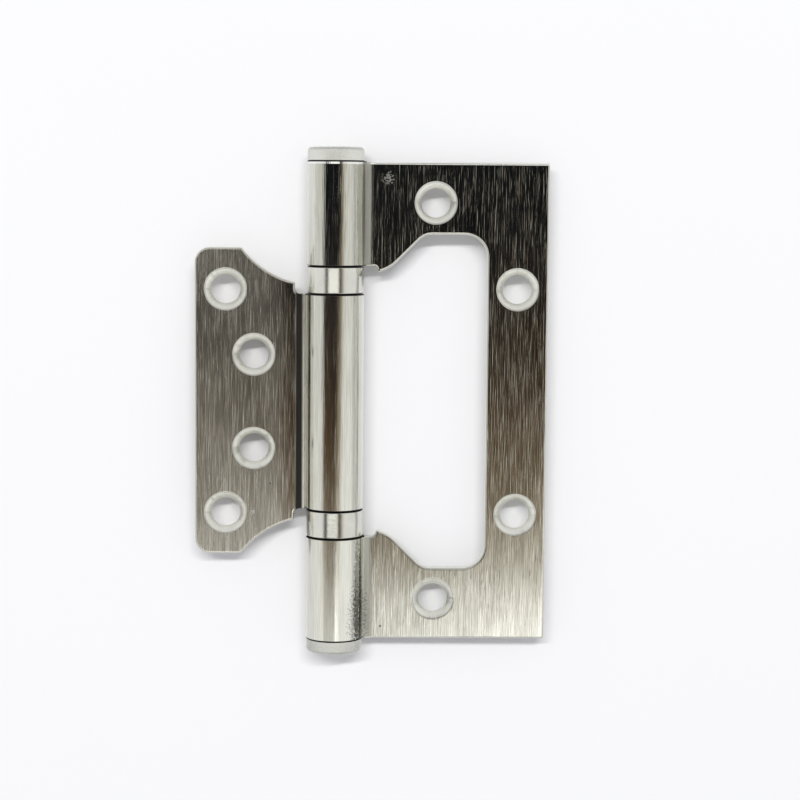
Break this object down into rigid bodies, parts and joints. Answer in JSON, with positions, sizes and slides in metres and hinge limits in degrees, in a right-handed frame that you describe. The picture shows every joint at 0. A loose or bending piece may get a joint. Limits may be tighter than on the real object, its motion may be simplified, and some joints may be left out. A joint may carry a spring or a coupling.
{
  "type": "flush door hinge",
  "caption": "Flush door hinge: a small leaf folds into the window of a large leaf, on one pin with ball bearings between rolled knuckles, in brushed steel.",
  "frame": {"origin": "on the pin's axis, at half the barrel's length", "axes": "+Y along the pin, +X towards the large outer leaf, +Z out of the faces that the screw heads sink into, with both leaves open in one plane"},
  "size_m": [0.0747, 0.1076, 0.012],
  "materials": {
    "leaf_steel": "brushed along the pin",
    "tip_steel": "satin, turned",
    "case_chrome": "bright, turned",
    "pin_steel": "ground",
    "bearing_steel": "hardened and polished",
    "cage_brass": "pressed"
  },
  "bodies": {
    "outer_leaf": {"outer_leaf": "leaf_steel", "hinge_pin": "pin_steel", "top_tip": "tip_steel", "bottom_tip": "tip_steel", "upper_bearing_case": "case_chrome", "lower_bearing_case": "case_chrome", "upper_bearing_top_race": "bearing_steel", "lower_bearing_bottom_race": "bearing_steel"},
    "inner_leaf": {"inner_leaf": "leaf_steel", "upper_bearing_bottom_race": "bearing_steel", "lower_bearing_top_race": "bearing_steel"},
    "upper_ball_train": {"upper_ball_cage": "cage_brass", "upper_ball_1": "bearing_steel", "upper_ball_2": "bearing_steel", "upper_ball_3": "bearing_steel", "upper_ball_4": "bearing_steel", "upper_ball_5": "bearing_steel", "upper_ball_6": "bearing_steel", "upper_ball_7": "bearing_steel", "upper_ball_8": "bearing_steel", "upper_ball_9": "bearing_steel", "upper_ball_10": "bearing_steel", "upper_ball_11": "bearing_steel", "upper_ball_12": "bearing_steel"},
    "lower_ball_train": {"lower_ball_cage": "cage_brass", "lower_ball_1": "bearing_steel", "lower_ball_2": "bearing_steel", "lower_ball_3": "bearing_steel", "lower_ball_4": "bearing_steel", "lower_ball_5": "bearing_steel", "lower_ball_6": "bearing_steel", "lower_ball_7": "bearing_steel", "lower_ball_8": "bearing_steel", "lower_ball_9": "bearing_steel", "lower_ball_10": "bearing_steel", "lower_ball_11": "bearing_steel", "lower_ball_12": "bearing_steel"}
  },
  "joints": [
    {"name": "leaf_turn", "type": "hinge", "parent": "outer_leaf", "child": "inner_leaf", "pos_m": [0, 0, 0], "axis": [0, 1, 0], "range_deg": [-90, 180]},
    {"name": "upper_balls_roll", "type": "hinge", "parent": "outer_leaf", "child": "upper_ball_train", "pos_m": [0, 0, 0], "axis": [0, 1, 0], "range_deg": [-45, 90]},
    {"name": "lower_balls_roll", "type": "hinge", "parent": "outer_leaf", "child": "lower_ball_train", "pos_m": [0, 0, 0], "axis": [0, 1, 0], "range_deg": [-45, 90]}
  ],
  "couplings": [
    {"joint": "upper_balls_roll", "follows": "leaf_turn", "ratio": 0.5},
    {"joint": "lower_balls_roll", "follows": "leaf_turn", "ratio": 0.5}
  ]
}
